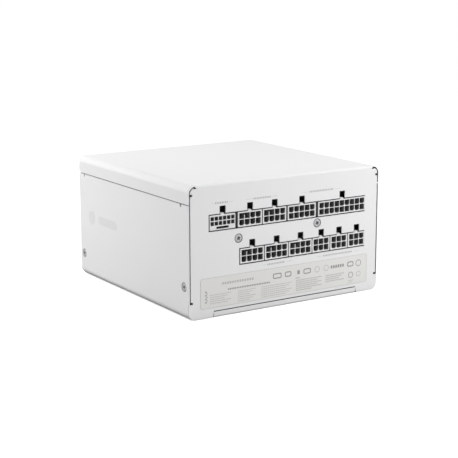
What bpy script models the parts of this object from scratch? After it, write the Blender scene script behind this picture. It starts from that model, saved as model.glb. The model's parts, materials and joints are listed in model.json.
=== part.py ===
"""Modular computer power supply unit: sheet-metal housing, socket panel, mains inlet, fan and inner assemblies."""

import math

import bmesh
import bpy
from mathutils import Matrix, Vector

MM = 0.001

# ---- driving dimensions -------------------------------------------------------------------------
CASE_WIDTH = 150 * MM
CASE_HEIGHT = 86 * MM
CASE_DEPTH = 150 * MM
SHEET = 0.8 * MM  # thickness of the housing's steel
BEND = 5 * MM  # outer radius of the long bends
SEAM_Z = 73.9 * MM  # where the two shells meet on the side walls
GAP = 0.4 * MM  # visible gap at the seam between the shells
PANEL_GAP = 0.6 * MM  # visible gap round the socket panel and the rear panel
CLEAR = 0.3 * MM  # clearance between parts that touch
SMOOTH_ANGLE = math.radians(32)
LABEL_PROUD = 0.2 * MM
REAR_PROUD = 2.4 * MM  # how far the inlet and the rocker stand out of the rear panel

HALF_W = CASE_WIDTH / 2
Y_FRONT = -(CASE_DEPTH + LABEL_PROUD + REAR_PROUD) / 2 + LABEL_PROUD
Y_REAR = Y_FRONT + CASE_DEPTH
Y_MID = (Y_FRONT + Y_REAR) / 2
WALL_IN = HALF_W - SHEET  # inner face of a side wall
PANEL_X = WALL_IN - PANEL_GAP  # half width of the front and rear panels
PANEL_LOW = SHEET + PANEL_GAP
PANEL_HIGH = CASE_HEIGHT - SHEET - PANEL_GAP
PANEL_CORNER = BEND - SHEET - PANEL_GAP

# socket rows, seen from the front: (name, kind) with the space before each socket
PITCH = 4.2 * MM
SOCKET_WALL = 0.85 * MM
SOCKET_HEIGHT = 9.6 * MM
SOCKET_DEPTH = 13 * MM
POCKET = 3.55 * MM
POCKET_DEPTH = 9.5 * MM
SOCKET_GAP = 0.45 * MM
WIDE_GAP = 1.75 * MM
WINDOW_GAP = 0.55 * MM
LATCH_WINDOW = (4.6 * MM, 4.8 * MM)
UPPER_ROW = {
    "z": 61.1 * MM,
    "left": -59.4 * MM,
    "sockets": [
        ("socket_12v", "twelve", 0.0),
        ("socket_cpu_gpu_1", "eight", WIDE_GAP),
        ("socket_cpu_gpu_2", "eight", SOCKET_GAP),
        ("socket_motherboard_10", "ten", 1.0 * MM),
        ("socket_motherboard_18", "eighteen", WIDE_GAP),
    ],
}
LOWER_ROW = {
    "z": 37.1 * MM,
    "left": -36.7 * MM,
    "sockets": [
        ("socket_cpu_gpu_3", "eight", 0.0),
        ("socket_cpu_gpu_4", "eight", SOCKET_GAP),
        ("socket_cpu_gpu_5", "eight", SOCKET_GAP),
        ("socket_peripheral_1", "six", SOCKET_GAP),
        ("socket_peripheral_2", "six", SOCKET_GAP),
        ("socket_peripheral_3", "six", SOCKET_GAP),
    ],
}
# S is a square pocket, D one with a rounded foot, K a pair of squares joined by a key slot at the top
POCKET_ROWS = {
    "six": ("SSD", "DDS"),
    "eight": ("KDD", "DDDS"),
    "ten": ("DDSSD", "SSDDS"),
    "eighteen": ("DDSSDDSSD", "SSDDSSDDS"),
}
TWELVE_WIDTH = 19.2 * MM
TWELVE_PITCH = 3.04 * MM

# fastening points
SIDE_SCREWS = {"front": (5.7 * MM, 21.3 * MM), "rear": (144.7 * MM, 16.2 * MM)}
PANEL_SCREWS = {"left": (-37.9 * MM, 49.2 * MM), "right": (23.8 * MM, 52.0 * MM)}
CASE_HOLES = [(-69 * MM, 80 * MM), (69 * MM, 80 * MM), (-69 * MM, 6 * MM), (69 * MM, 16 * MM)]
CASE_HOLE_R = 1.75 * MM
TAB_START = 9.5 * MM  # the lower shell's tongues run between these distances from the front
TAB_END = 141.9 * MM

# fan
FAN_SIDE = 140 * MM
FAN_THICK = 25 * MM
FAN_HOLE = 62.25 * MM
DUCT_R = 66.5 * MM
FAN_LOW = 2.0 * MM
HUB_R = 20 * MM
BLADES = 9
GRILLE_R = 64 * MM

# mains inlet and switch, seen in the rear panel
INLET = (38 * MM, 60 * MM)
INLET_EARS = 20 * MM
SWITCH = (-4 * MM, 60 * MM)
ROCKER_TILT = math.radians(10)

# boards
BOARD_Z = 79.4 * MM
BOARD_THICK = 1.6 * MM
SOCKET_BACK = Y_FRONT + 0.1 * MM + SOCKET_DEPTH

UP = Vector((0, 0, 1))


# ---- scene helpers --------------------------------------------------------------------------------
def clear_scene():
    for obj in list(bpy.data.objects):
        bpy.data.objects.remove(obj)


def collection(name):
    made = bpy.data.collections.new(name)
    bpy.context.scene.collection.children.link(made)
    return made


clear_scene()
PARTS = collection("power_supply_unit")
CUTTERS = collection("cutters")

FINISHES = {
    "white_paint": ((0.86, 0.86, 0.86), 0.45, 0.0),
    "white_plastic": ((0.84, 0.84, 0.84), 0.4, 0.0),
    "black_plastic": ((0.03, 0.03, 0.03), 0.45, 0.0),
    "dark_plastic": ((0.08, 0.08, 0.09), 0.5, 0.0),
    "screw_steel": ((0.55, 0.55, 0.56), 0.35, 1.0),
    "label_film": ((0.78, 0.77, 0.74), 0.55, 0.0),
    "board_black": ((0.02, 0.03, 0.025), 0.5, 0.0),
    "aluminium": ((0.7, 0.7, 0.72), 0.35, 1.0),
    "ferrite": ((0.07, 0.07, 0.08), 0.7, 0.0),
    "copper_winding": ((0.55, 0.25, 0.1), 0.4, 1.0),
    "capacitor_sleeve": ((0.04, 0.05, 0.12), 0.35, 0.0),
    "yellow_film": ((0.75, 0.6, 0.08), 0.45, 0.0),
    "brass": ((0.8, 0.6, 0.3), 0.3, 1.0),
    "tinned_brass": ((0.75, 0.74, 0.7), 0.25, 1.0),
    "clear_film": ((0.75, 0.75, 0.72), 0.4, 0.0),
    "wire_black": ((0.03, 0.03, 0.03), 0.5, 0.0),
    "wire_brown": ((0.2, 0.08, 0.04), 0.5, 0.0),
}


def finish(name):
    made = bpy.data.materials.get(name)
    if made is None:
        made = bpy.data.materials.new(name)
        made.use_nodes = True
        shader = made.node_tree.nodes["Principled BSDF"]
        colour, roughness, metallic = FINISHES[name]
        shader.inputs["Base Color"].default_value = (*colour, 1)
        shader.inputs["Roughness"].default_value = roughness
        shader.inputs["Metallic"].default_value = metallic
    return made


def add(name, mesh, material=None):
    """A new object: a part if it has a material, else a hidden helper."""
    obj = bpy.data.objects.new(name, mesh)
    if material:
        PARTS.objects.link(obj)
        mesh.materials.clear()
        mesh.materials.append(finish(material))
    else:
        CUTTERS.objects.link(obj)
        obj.hide_render = True
        obj.display_type = "WIRE"
    return obj


def from_bmesh(name, shape, material=None):
    bmesh.ops.recalc_face_normals(shape, faces=shape.faces)
    mesh = bpy.data.meshes.new(name)
    shape.to_mesh(mesh)
    shape.free()
    return add(name, mesh, material)


def block(name, low, high, material=None, bevel=0.0):
    low, high = Vector(low), Vector(high)
    shape = bmesh.new()
    bmesh.ops.create_cube(shape, size=1)
    size = high - low
    bmesh.ops.scale(shape, vec=size, verts=shape.verts)
    obj = from_bmesh(name, shape, material)
    obj.location = (low + high) / 2
    if bevel:
        edge = obj.modifiers.new("rounded_edges", "BEVEL")
        edge.width = bevel
        edge.segments = 2
    return obj


def rod(name, start, end, radius, material=None, sides=16, end_radius=None):
    """A cylinder, or a cone, from start to end."""
    start, end = Vector(start), Vector(end)
    shape = bmesh.new()
    bmesh.ops.create_cone(
        shape,
        cap_ends=True,
        segments=sides,
        radius1=radius,
        radius2=radius if end_radius is None else end_radius,
        depth=(end - start).length,
    )
    obj = from_bmesh(name, shape, material)
    obj.location = (start + end) / 2
    obj.rotation_mode = "QUATERNION"
    obj.rotation_quaternion = (end - start).to_track_quat("Z", "Y")
    return obj


TURNS = {
    "Z": Matrix.Identity(4),
    "Y": Matrix.Rotation(math.pi / 2, 4, "X"),
    "X": Matrix.Rotation(math.pi / 2, 4, "Z") @ Matrix.Rotation(math.pi / 2, 4, "X"),
}


def plate(name, outlines, axis, low, high, material=None):
    """A flat outline with holes, extruded along an axis from low to high. Outlines are in the two other axes."""
    curve = bpy.data.curves.new(name, "CURVE")
    curve.dimensions = "2D"
    curve.fill_mode = "BOTH"
    curve.extrude = (high - low) / 2
    for outline in outlines:
        spline = curve.splines.new("POLY")
        spline.points.add(len(outline) - 1)
        for point, (u, v) in zip(spline.points, outline):
            point.co = (u, v, 0, 1)
        spline.use_cyclic_u = True
    flat = bpy.data.objects.new(name + "_outline", curve)
    bpy.context.scene.collection.objects.link(flat)
    move = {"X": (1, 0, 0), "Y": (0, 1, 0), "Z": (0, 0, 1)}[axis]
    flat.matrix_world = Matrix.Translation(Vector(move) * (low + high) / 2) @ TURNS[axis]
    obj = mesh_from_curve(name, flat, material)
    return obj


def mesh_from_curve(name, curve_object, material=None):
    """A curve object turned into a closed mesh part in the same place."""
    bpy.context.view_layer.update()
    graph = bpy.context.evaluated_depsgraph_get()
    mesh = bpy.data.meshes.new_from_object(curve_object.evaluated_get(graph))
    mesh.name = name
    shape = bmesh.new()
    shape.from_mesh(mesh)
    bmesh.ops.remove_doubles(shape, verts=shape.verts, dist=0.00001)
    bmesh.ops.recalc_face_normals(shape, faces=shape.faces)
    shape.to_mesh(mesh)
    shape.free()
    matrix = curve_object.matrix_world.copy()
    bpy.data.objects.remove(curve_object)
    obj = add(name, mesh, material)
    obj.matrix_world = matrix
    return obj


def boolean(target, operation, others):
    for other in others:
        step = target.modifiers.new(f"{operation.lower()}_{other.name}", "BOOLEAN")
        step.operation = operation
        step.object = other
        step.solver = "EXACT"
    return target


def cut(target, *others):
    return boolean(target, "DIFFERENCE", others)


def fuse(target, *others):
    return boolean(target, "UNION", others)


def turned(name, profile, location, direction, material, steps=12):
    """A turned solid: profile points are (radius, height) from the top of the axis down to its foot."""
    mesh = bpy.data.meshes.new(name)
    points = [(radius, 0, height) for radius, height in profile]
    mesh.from_pydata(points, [(i, i + 1) for i in range(len(points) - 1)], [])
    obj = add(name, mesh, material)
    spin = obj.modifiers.new("turn", "SCREW")
    spin.steps = spin.render_steps = steps
    spin.use_merge_vertices = True
    spin.merge_threshold = 0.00001
    obj.location = location
    obj.rotation_mode = "QUATERNION"
    obj.rotation_quaternion = Vector(direction).to_track_quat("Z", "Y")
    return obj


# ---- outlines ---------------------------------------------------------------------------------------
def arc(cx, cy, radius, start, end, steps=6):
    """Points on an arc, angles in degrees, both ends included."""
    found = []
    for i in range(steps + 1):
        a = math.radians(start + (end - start) * i / steps)
        found.append((cx + radius * math.cos(a), cy + radius * math.sin(a)))
    return found


def rectangle(low_u, low_v, high_u, high_v):
    return [(low_u, low_v), (high_u, low_v), (high_u, high_v), (low_u, high_v)]


def rounded(low_u, low_v, high_u, high_v, radius, steps=4):
    return (
        arc(high_u - radius, high_v - radius, radius, 0, 90, steps)
        + arc(low_u + radius, high_v - radius, radius, 90, 180, steps)
        + arc(low_u + radius, low_v + radius, radius, 180, 270, steps)
        + arc(high_u - radius, low_v + radius, radius, 270, 360, steps)
    )


def circle(cx, cy, radius, steps=12):
    return arc(cx, cy, radius, 0, 360 * (steps - 1) / steps, steps - 1)


def hexagons(pitch, across, allowed):
    """Hexagon outlines on a staggered grid about the origin, kept where allowed(u, v) is true."""
    found = []
    row_step = pitch * math.sqrt(3) / 2
    reach = int(90 * MM / row_step)
    for row in range(-reach, reach + 1):
        for column in range(-reach, reach + 1):
            u = (column + 0.5 * (row % 2)) * pitch
            v = row * row_step
            if allowed(u, v):
                corner = across / math.sqrt(3)
                found.append([
                    (u + corner * math.sin(k * math.pi / 3), v + corner * math.cos(k * math.pi / 3))
                    for k in range(6)
                ])
    return found


# ---- sockets ----------------------------------------------------------------------------------------
def socket_width(kind):
    if kind == "twelve":
        return TWELVE_WIDTH
    return len(POCKET_ROWS[kind][1]) * PITCH + 2 * SOCKET_WALL


def socket_places(row):
    """(name, kind, centre x) for each socket of a row, laid out from its left end."""
    found = []
    x = row["left"]
    for name, kind, space in row["sockets"]:
        x += space
        found.append((name, kind, x + socket_width(kind) / 2))
        x += socket_width(kind)
    return found


def pocket(x, z, kind):
    half = POCKET / 2
    if kind == "S":
        return rectangle(x - half, z - half, x + half, z + half)
    r = 1.3 * MM
    return (
        [(x + half, z + half), (x - half, z + half)]
        + arc(x - half + r, z - half + r, r, 180, 270, 3)
        + arc(x + half - r, z - half + r, r, 270, 360, 3)
    )


def keyed_pair(x, z):
    """Two square pockets, the first centred on x, joined by a slot along their tops."""
    half = POCKET / 2
    slot = z + half - 1.2 * MM
    return [
        (x - half, z - half),
        (x + half, z - half),
        (x + half, slot),
        (x + PITCH - half, slot),
        (x + PITCH - half, z - half),
        (x + PITCH + half, z - half),
        (x + PITCH + half, z + half),
        (x - half, z + half),
    ]


def pocket_outlines(kind, x, z):
    found = []
    if kind == "twelve":
        half = 1.15 * MM
        for column in range(6):
            for dz in (2.5 * MM, -0.6 * MM):
                u = x + (column - 2.5) * TWELVE_PITCH
                found.append(rectangle(u - half, z + dz - half, u + half, z + dz + half))
        found.append(rectangle(x - 4.6 * MM, z - 4.0 * MM, x + 4.6 * MM, z - 2.7 * MM))
        return found
    for row_index, pattern in enumerate(POCKET_ROWS[kind]):
        row_z = z + PITCH * (0.5 - row_index)
        columns = len(POCKET_ROWS[kind][1])
        column = 0
        for letter in pattern:
            u = x + (column - (columns - 1) / 2) * PITCH
            if letter == "K":
                found.append(keyed_pair(u, row_z))
                column += 2
            else:
                found.append(pocket(u, row_z, letter))
                column += 1
    return found


def make_socket(name, kind, x, z):
    """A socket body with blind terminal pockets and a latch ramp on top."""
    front = Y_FRONT + 0.1 * MM
    half_w, half_h = socket_width(kind) / 2, SOCKET_HEIGHT / 2
    body = block(
        name, (x - half_w, front, z - half_h), (x + half_w, SOCKET_BACK, z + half_h), "white_plastic"
    )
    ramp_high = z + half_h + 1.3 * MM
    ramp = plate(
        name + "_ramp",
        [[(front, z), (front + 3 * MM, z), (front + 3 * MM, ramp_high), (front + 1 * MM, ramp_high),
          (front, z + half_h + 0.5 * MM)]],
        "X", x - 1.6 * MM, x + 1.6 * MM,
    )
    pockets = plate(
        name + "_pockets", pocket_outlines(kind, x, z), "Y", front - 2 * MM, front + POCKET_DEPTH
    )
    fuse(body, ramp)
    return cut(body, pockets)


def make_sockets():
    for row in (UPPER_ROW, LOWER_ROW):
        for name, kind, x in socket_places(row):
            make_socket(name, kind, x, row["z"])


def row_window(row):
    """The panel's opening for one row of sockets, with a latch window above each socket."""
    places = socket_places(row)
    half_h = SOCKET_HEIGHT / 2 + WINDOW_GAP
    low, high = row["z"] - half_h, row["z"] + half_h
    left = row["left"] - WINDOW_GAP
    right = places[-1][2] + socket_width(places[-1][1]) / 2 + WINDOW_GAP
    outline = [(left, low), (right, low), (right, high)]
    half_latch = LATCH_WINDOW[0] / 2
    for _, _, x in reversed(places):
        top = high + LATCH_WINDOW[1]
        outline += [(x + half_latch, high), (x + half_latch, top), (x - half_latch, top), (x - half_latch, high)]
    outline.append((left, high))
    return outline


# ---- housing ----------------------------------------------------------------------------------------
FLANGE_TOP = 79.7 * MM
FLANGE_FOOT = 12.0 * MM
FLANGE_DEPTH = 8.6 * MM
REAR_FLANGE_DEPTH = 7.7 * MM
STRIP_HEIGHT = 3.8 * MM
STRIP_HALF = 56 * MM
STRIP_SLANT = 0.7 * MM
NOTCH = 1.5 * MM
FOLD_BACK = 0.3 * MM  # the folded edges of the top plate stand this far back from the panels' faces


def screw_hole_cutter(name, place, inward, head_r=3.1 * MM, hole_r=1.7 * MM):
    """A cutter for a countersunk hole through thin sheet, from the outer face inwards."""
    place, inward = Vector(place), Vector(inward)
    sink = rod(name + "_sink", place - inward * 1 * MM, place + inward * 2.2 * MM, head_r + 1 * MM,
               end_radius=head_r - 2.2 * MM, sides=20)
    hole = rod(name + "_hole", place - inward * 1 * MM, place + inward * 6 * MM, hole_r, sides=16)
    return sink, hole


def side_screw_places():
    found = {}
    for side, sign in (("left", -1), ("right", 1)):
        for end, (y, z) in SIDE_SCREWS.items():
            found[f"{end}_{side}"] = (Vector((sign * HALF_W, Y_FRONT + y, z)), Vector((-sign, 0, 0)))
    return found


def end_panel(name, y_low):
    """A panel folded down from the top plate: its outline leaves room for the lower shell's strip."""
    top = CASE_HEIGHT
    centre = HALF_W - BEND
    fold = centre - 0.3 * MM
    outline = (
        [(-fold, PANEL_HIGH), (-fold, top - 0.2 * MM), (fold, top - 0.2 * MM), (fold, PANEL_HIGH)]
        + arc(centre, top - BEND, PANEL_CORNER, 90, 0, 4)
        + arc(centre, BEND, PANEL_CORNER, 0, -90, 4)
        + strip_notch()
        + arc(-centre, BEND, PANEL_CORNER, 270, 180, 4)
        + arc(-centre, top - BEND, PANEL_CORNER, 180, 90, 4)
    )
    return plate(name, [outline], "Y", y_low, y_low + SHEET)


def relief_notches(name, y_low, y_high, depth):
    """Cutters for the small notches at the ends of a panel's folds."""
    found = []
    outer = y_low - 1 * MM if depth > 0 else y_high + 1 * MM
    for side, sign in (("left", -1), ("right", 1)):
        middle = (y_low + y_high) / 2
        xs = sorted((sign * (HALF_W - BEND - 0.8 * MM), sign * (HALF_W - BEND + 0.8 * MM)))
        ys = sorted((outer, middle + depth * 1.2 * MM))
        found.append(block(f"{name}_fold_notch_{side}", (xs[0], ys[0], CASE_HEIGHT - 1.5 * MM),
                           (xs[1], ys[1], CASE_HEIGHT - 0.3 * MM)))
        xs = sorted((sign * (PANEL_X + 0.2 * MM), sign * (PANEL_X - NOTCH)))
        ys = sorted((outer, middle + depth * (FLANGE_DEPTH + 1 * MM)))
        for end, low in (("top", FLANGE_TOP), ("foot", FLANGE_FOOT - 1 * MM)):
            found.append(block(f"{name}_{end}_notch_{side}", (xs[0], ys[0], low), (xs[1], ys[1], low + 1 * MM)))
    return found


def make_upper_shell():
    """Top plate with short side flanges, folded down at the front and at the rear."""
    top, low = CASE_HEIGHT, SEAM_Z + GAP / 2
    centre = HALF_W - BEND
    inner = BEND - SHEET
    outline = (
        [(HALF_W, low)]
        + arc(centre, top - BEND, BEND, 0, 90)
        + arc(-centre, top - BEND, BEND, 90, 180)
        + [(-HALF_W, low), (-WALL_IN, low)]
        + arc(-centre, top - BEND, inner, 180, 90)
        + arc(centre, top - BEND, inner, 90, 0)
        + [(WALL_IN, low)]
    )
    shell = plate("upper_shell", [outline], "Y", Y_FRONT + FOLD_BACK, Y_REAR - FOLD_BACK, "white_paint")
    front = end_panel("socket_panel", Y_FRONT)
    rear = end_panel("rear_panel", Y_REAR - SHEET)
    flanges = []
    for sign in (-1, 1):
        xs = sorted((sign * (PANEL_X - 0.3 * MM), sign * (PANEL_X - 0.3 * MM - SHEET)))
        for end, low_y, high_y in (
            ("front", Y_FRONT + 0.5 * MM, Y_FRONT + FLANGE_DEPTH),
            ("rear", Y_REAR - REAR_FLANGE_DEPTH, Y_REAR - 0.5 * MM),
        ):
            flanges.append(block(f"{end}_flange_{sign}", (xs[0], low_y, FLANGE_FOOT), (xs[1], high_y, FLANGE_TOP)))
    fuse(shell, front, rear, *flanges)
    for name, row in (("upper", UPPER_ROW), ("lower", LOWER_ROW)):
        cut(shell, plate(name + "_window", [row_window(row)], "Y", Y_FRONT - 2 * MM, Y_FRONT + 2 * MM))
    cut(shell, plate("rear_cut_outs", rear_openings(), "Y", Y_REAR - 3 * MM, Y_REAR + 2 * MM))
    cut(shell, *relief_notches("front", Y_FRONT, Y_FRONT + SHEET, 1))
    cut(shell, *relief_notches("rear", Y_REAR - SHEET, Y_REAR, -1))
    for name, (x, z) in PANEL_SCREWS.items():
        cut(shell, *screw_hole_cutter("panel_" + name, (x, Y_FRONT, z), (0, 1, 0)))
    for name, (place, inward) in side_screw_places().items():
        cut(shell, rod("flange_hole_" + name, place, place + inward * 4 * MM, 2.15 * MM, sides=12))
    return shell


def strip_notch():
    """The cut-out in the socket panel's foot where the lower shell's strip shows."""
    top = STRIP_HEIGHT + PANEL_GAP
    half, wide = STRIP_HALF + PANEL_GAP, STRIP_HALF + PANEL_GAP + STRIP_SLANT
    return [(wide, PANEL_LOW), (half, top), (-half, top), (-wide, PANEL_LOW)]


def make_lower_shell():
    """Bottom plate with the fan opening, both side walls, and a turned-up strip at the front."""
    high = SEAM_Z - GAP / 2
    centre = HALF_W - BEND
    inner = BEND - SHEET
    outline = (
        [(-HALF_W, high)]
        + arc(-centre, BEND, BEND, 180, 270)
        + arc(centre, BEND, BEND, 270, 360)
        + [(HALF_W, high), (WALL_IN, high)]
        + arc(centre, BEND, inner, 360, 270)
        + arc(-centre, BEND, inner, 270, 180)
        + [(-WALL_IN, high)]
    )
    shell = plate("lower_shell", [outline], "Y", Y_FRONT, Y_REAR, "white_paint")
    strip_outline = [
        (STRIP_HALF + STRIP_SLANT, 0.2 * MM),
        (STRIP_HALF, STRIP_HEIGHT),
        (-STRIP_HALF, STRIP_HEIGHT),
        (-STRIP_HALF - STRIP_SLANT, 0.2 * MM),
    ]
    fuse(shell, plate("front_strip", [strip_outline], "Y", Y_FRONT, Y_FRONT + SHEET))
    fuse(shell, plate("rear_strip", [strip_outline], "Y", Y_REAR - SHEET, Y_REAR))
    tongue_out = WALL_IN - CLEAR
    for side, sign in (("left", -1), ("right", 1)):
        for piece, outer, z_low, z_high in (
            ("root", WALL_IN + 0.3 * MM, SEAM_Z - 9 * MM, SEAM_Z - 1.6 * MM),
            ("tongue", tongue_out, SEAM_Z - 3 * MM, SEAM_Z + 6 * MM),
        ):
            xs = sorted((sign * outer, sign * (tongue_out - SHEET)))
            fuse(shell, block(f"{piece}_{side}", (xs[0], Y_FRONT + TAB_START, z_low),
                              (xs[1], Y_FRONT + TAB_END, z_high)))
        for end, y in (("front", TAB_START), ("rear", TAB_END)):
            xs = sorted((sign * (HALF_W + 1 * MM), sign * (WALL_IN - CLEAR / 2)))
            cut(shell, block(f"tick_{end}_{side}", (xs[0], Y_FRONT + y - 0.4 * MM, high - 1.4 * MM),
                             (xs[1], Y_FRONT + y + 0.4 * MM, high + 1 * MM)))
    cut(shell, rod("fan_opening", (0, Y_MID, -2 * MM), (0, Y_MID, 4 * MM), GRILLE_R + 2 * MM, sides=48))
    for name, (place, inward) in side_screw_places().items():
        cut(shell, *screw_hole_cutter("wall_" + name, place, inward))
    for name, place in fan_screw_places().items():
        cut(shell, *screw_hole_cutter("base_" + name, place, UP))
    return shell


def rear_openings():
    """The rear panel's honeycomb vent, inlet and switch cut-outs, and standard case screw holes."""
    z_mid = CASE_HEIGHT / 2
    inlet_hole = rectangle(INLET[0] - 14.2 * MM, INLET[1] - 10.7 * MM, INLET[0] + 14.2 * MM, INLET[1] + 10.7 * MM)
    switch_hole = rectangle(SWITCH[0] - 6.8 * MM, SWITCH[1] - 10.2 * MM, SWITCH[0] + 6.8 * MM, SWITCH[1] + 10.2 * MM)
    ears = [circle(INLET[0] + s * INLET_EARS, INLET[1], 1.8 * MM) for s in (-1, 1)]
    holes = [circle(x, z, CASE_HOLE_R) for x, z in CASE_HOLES]

    def open_area(u, v):
        z = v + z_mid
        near_inlet = abs(u - INLET[0]) < 29 * MM and abs(z - INLET[1]) < 17 * MM
        near_switch = abs(u - SWITCH[0]) < 13 * MM and abs(z - SWITCH[1]) < 17 * MM
        return abs(u) < 60 * MM and abs(v) < 34 * MM and not near_inlet and not near_switch

    vents = [[(u, v + z_mid) for u, v in hexagon] for hexagon in hexagons(9.4 * MM, 8.0 * MM, open_area)]
    return [inlet_hole, switch_hole, *ears, *holes, *vents]


def make_fan_grille():
    """Perforated plate clamped between the bottom plate and the fan."""
    half = 70 * MM
    low = SHEET + 0.1 * MM
    edge = [(u, v + Y_MID) for u, v in rounded(-half, -half, half, half, 6 * MM)]

    def open_area(u, v):
        r = math.hypot(u, v)
        return 18 * MM < r < GRILLE_R - 6.2 * MM

    vents = [[(u, v + Y_MID) for u, v in hexagon] for hexagon in hexagons(14.5 * MM, 12.6 * MM, open_area)]
    holes = [circle(place.x, place.y, 3.3 * MM) for place in fan_screw_places().values()]
    return plate("fan_grille", [edge, *vents, *holes], "Z", low, low + SHEET, "white_paint")


def make_label():
    edge = rounded(-66.5 * MM, 6.4 * MM, 66.0 * MM, 26.3 * MM, 1.6 * MM, steps=3)
    return plate("rating_label", [edge], "Y", Y_FRONT - LABEL_PROUD, Y_FRONT - 0.05 * MM, "label_film")


# ---- fasteners --------------------------------------------------------------------------------------
def make_screw(name, place, inward, length, head_r=2.75 * MM, shank_r=1.4 * MM):
    """A countersunk screw with a hexagon recess, flush with the face at place."""
    sunk = 0.05 * MM
    profile = [(0, 0), (head_r, 0), (head_r, -0.25 * MM), (shank_r, -0.25 * MM - (head_r - shank_r)),
               (shank_r, -length), (0, -length)]
    place, inward = Vector(place), Vector(inward)
    made = turned(name, profile, place + inward * sunk, -inward, "screw_steel")
    recess = rod(name + "_recess", place - inward * 1 * MM, place + inward * 1.2 * MM, 1.05 * MM, sides=6)
    return cut(made, recess)


def fan_screw_places():
    return {
        f"{end}_{side}": Vector((sx * FAN_HOLE, Y_MID + sy * FAN_HOLE, 0))
        for side, sx in (("left", -1), ("right", 1))
        for end, sy in (("front", -1), ("rear", 1))
    }


def make_fasteners():
    for name, (place, inward) in side_screw_places().items():
        make_screw(f"side_screw_{name}", place, inward, 4.2 * MM)
    for name, (x, z) in PANEL_SCREWS.items():
        make_screw(f"panel_screw_{name}", (x, Y_FRONT, z), (0, 1, 0), 6 * MM)
        spacer = rod(f"panel_spacer_{name}", (x, Y_FRONT + SHEET + 0.9 * MM, z), (x, SOCKET_BACK, z), 2.8 * MM,
                     "brass", sides=6)
        cut(spacer, rod(f"spacer_bore_{name}", (x, Y_FRONT, z), (x, Y_FRONT + 8 * MM, z), 1.75 * MM, sides=12))
    for name, place in fan_screw_places().items():
        make_screw(f"fan_screw_{name}", place, UP, 8 * MM)


# ---- fan --------------------------------------------------------------------------------------------
def make_fan_frame():
    half = FAN_SIDE / 2
    high = FAN_LOW + FAN_THICK
    edge = [(u, v + Y_MID) for u, v in rounded(-half, -half, half, half, 8 * MM)]
    duct = circle(0, Y_MID, DUCT_R, 48)
    holes = [circle(place.x, place.y, 2.1 * MM) for place in fan_screw_places().values()]
    frame = plate("fan_frame", [edge, duct, *holes], "Z", FAN_LOW, high, "black_plastic")
    base = rod("motor_base", (0, Y_MID, high - 2.4 * MM), (0, Y_MID, high), HUB_R + 1 * MM, sides=32)
    fuse(frame, base)
    for i in range(4):
        strut = block(f"strut_{i}", (HUB_R - 2 * MM, -1.8 * MM, -2.2 * MM), (DUCT_R + 1 * MM, 1.8 * MM, 0))
        turn = Matrix.Rotation(math.radians(45 + 90 * i), 4, "Z")
        middle = Vector(((HUB_R - 2 * MM + DUCT_R + 1 * MM) / 2, 0, -1.1 * MM))
        strut.matrix_world = Matrix.Translation((0, Y_MID, high - 0.1 * MM)) @ turn @ Matrix.Translation(middle)
        fuse(frame, strut)
    return frame


def make_fan_stator():
    """Coil drum on the motor base, inside the rotor's cup."""
    high = FAN_LOW + FAN_THICK - 2.4 * MM - CLEAR
    outline = [circle(0, Y_MID, 14 * MM, 20), circle(0, Y_MID, 3 * MM, 12)]
    return plate("fan_stator", outline, "Z", high - 9 * MM, high, "copper_winding")


def blade(index):
    """One swept blade, lofted between sections at the hub and at the tip."""
    shape = bmesh.new()
    sections = 5
    rings = []
    for i in range(sections):
        t = i / (sections - 1)
        radius = HUB_R - 0.8 * MM + t * (DUCT_R - 2.2 * MM - HUB_R + 0.8 * MM)
        middle = math.radians(22 * t)
        spread = math.radians(17 - 1.5 * t)
        pitch_rise = (7.5 - 1.5 * t) * MM
        thick = (1.0 - 0.35 * t) * MM
        ring = []
        for along, rise in ((-1, 0), (0, 1), (1, 0), (0, -1)):
            angle = middle + along * spread
            height = along * pitch_rise + rise * thick - 0.6 * MM * (1 - abs(along))
            ring.append(shape.verts.new((radius * math.cos(angle), radius * math.sin(angle), height)))
        rings.append(ring)
    for near, far in zip(rings, rings[1:]):
        for k in range(4):
            shape.faces.new((near[k], near[(k + 1) % 4], far[(k + 1) % 4], far[k]))
    shape.faces.new(reversed(rings[0]))
    shape.faces.new(rings[-1])
    bmesh.ops.triangulate(shape, faces=shape.faces)
    obj = from_bmesh(f"blade_{index}", shape)
    obj.matrix_world = (
        Matrix.Translation((0, Y_MID, FAN_LOW + FAN_THICK / 2 - 1.5 * MM))
        @ Matrix.Rotation(2 * math.pi * index / BLADES, 4, "Z")
    )
    return obj


def make_fan_rotor():
    """Cup-shaped hub with its shaft and swept blades."""
    low = FAN_LOW + 1 * MM
    high = FAN_LOW + FAN_THICK - 2.4 * MM - 2 * CLEAR
    axis = Vector((0, Y_MID, 0))
    rotor = rod("fan_rotor", axis + UP * low, axis + UP * high, HUB_R, "black_plastic", sides=36)
    cut(rotor, rod("rotor_cup", axis + UP * (low + 2 * MM), axis + UP * (high + 1 * MM), HUB_R - 1.6 * MM, sides=36))
    shaft = rod("rotor_shaft", axis + UP * (low + 1 * MM), axis + UP * (high - 1 * MM), 1.5 * MM, sides=12)
    fuse(rotor, shaft)
    return fuse(rotor, *[blade(i) for i in range(BLADES)])


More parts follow.
